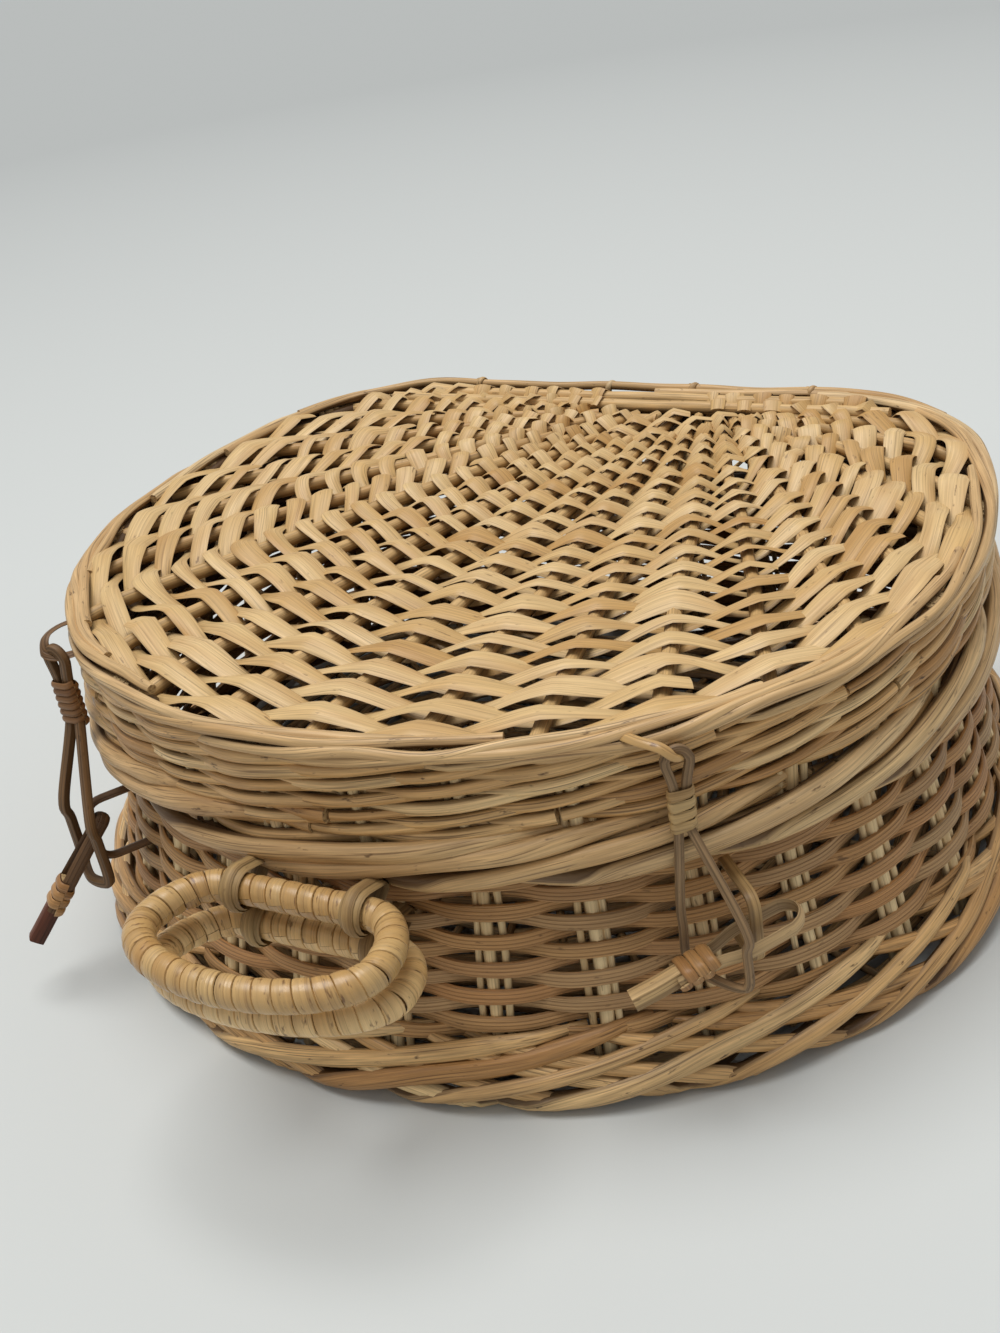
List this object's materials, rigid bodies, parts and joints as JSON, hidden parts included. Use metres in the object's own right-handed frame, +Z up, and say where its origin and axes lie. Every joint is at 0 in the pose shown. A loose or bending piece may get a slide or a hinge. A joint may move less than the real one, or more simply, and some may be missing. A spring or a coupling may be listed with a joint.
{
  "type": "lidded wicker storage basket",
  "caption": "Low D-shaped woven willow and cane hamper with a back-hinged lid, cane-wrapped ring handles at the front and peg-and-hasp closures at the sides.",
  "frame": {"origin": "middle of the plan on the flat underside that the basket stands on", "axes": "+Z up, +Y towards the straight hinge side, -Y towards the handles, +X to the right as seen from the front"},
  "size_m": [0.4536, 0.4488, 0.1615],
  "materials": {
    "willow": "peeled willow rods, dry and slightly glossy",
    "weaver": "brown flat-oval rattan weavers with fibre lines",
    "cane": "glossy pale yellow wrapping cane",
    "brown_cane": "dull olive-brown split cane",
    "bark": "stick with some red-brown bark left on"
  },
  "bodies": {
    "base": {"base_floor": "willow", "base_foot": "willow", "base_wall": "weaver", "base_rim": "willow", "hinge_loop_left": "brown_cane", "hinge_loop_right": "brown_cane", "base_handle_tie_left": "brown_cane", "base_handle_tie_right": "brown_cane", "base_staple_left": "brown_cane", "base_staple_right": "brown_cane"},
    "lid": {"lid_wall": "willow", "lid_lower_border": "willow", "lid_hinge_rod": "willow", "lid_top_border": "willow", "lid_panel": "cane", "lid_hub_bar": "willow", "lid_back_bar_1": "willow", "lid_back_bar_2": "willow", "lid_handle_tie_left": "brown_cane", "lid_handle_tie_right": "brown_cane", "lid_hasp_eye_left": "cane", "lid_hasp_eye_right": "cane"},
    "upper_handle": {"upper_handle_core": "willow", "upper_handle_wrap": "cane"},
    "lower_handle": {"lower_handle_core": "willow", "lower_handle_wrap": "cane"},
    "hasp_left": {"hasp_left": "brown_cane", "hasp_binding_left": "cane"},
    "hasp_right": {"hasp_right": "brown_cane", "hasp_binding_right": "cane"},
    "toggle_left": {"toggle_strip_left": "brown_cane", "toggle_peg_left": "bark", "toggle_binding_left": "cane"},
    "toggle_right": {"toggle_strip_right": "brown_cane", "toggle_peg_right": "bark", "toggle_binding_right": "cane"}
  },
  "joints": [
    {"name": "lid_hinge", "type": "hinge", "parent": "base", "child": "lid", "pos_m": [0, 0.162, 0.099], "axis": [-1, 0, 0], "range_deg": [0, 110]},
    {"name": "upper_handle_swing", "type": "hinge", "parent": "lid", "child": "upper_handle", "pos_m": [0, -0.20701, 0.098], "axis": [-1, 0, 0], "range_deg": [0, 80]},
    {"name": "lower_handle_swing", "type": "hinge", "parent": "base", "child": "lower_handle", "pos_m": [0, -0.20101, 0.076], "axis": [-1, 0, 0], "range_deg": [-80, 0]},
    {"name": "hasp_left_swing", "type": "hinge", "parent": "lid", "child": "hasp_left", "pos_m": [-0.15206, -0.14497, 0.151], "axis": [0.6756, -0.7373, 0], "range_deg": [-12, 2]},
    {"name": "hasp_right_swing", "type": "hinge", "parent": "lid", "child": "hasp_right", "pos_m": [0.13769, -0.15651, 0.151], "axis": [0.6691, -0.7431, 0], "range_deg": [-8, 8]},
    {"name": "toggle_left_swing", "type": "hinge", "parent": "base", "child": "toggle_left", "pos_m": [-0.14156, -0.16481, 0.073], "axis": [0.6756, -0.7373, 0], "range_deg": [-50, 5]},
    {"name": "toggle_right_swing", "type": "hinge", "parent": "base", "child": "toggle_right", "pos_m": [0.15933, -0.15055, 0.073], "axis": [0.6691, -0.7431, 0], "range_deg": [-25, 40]}
  ]
}
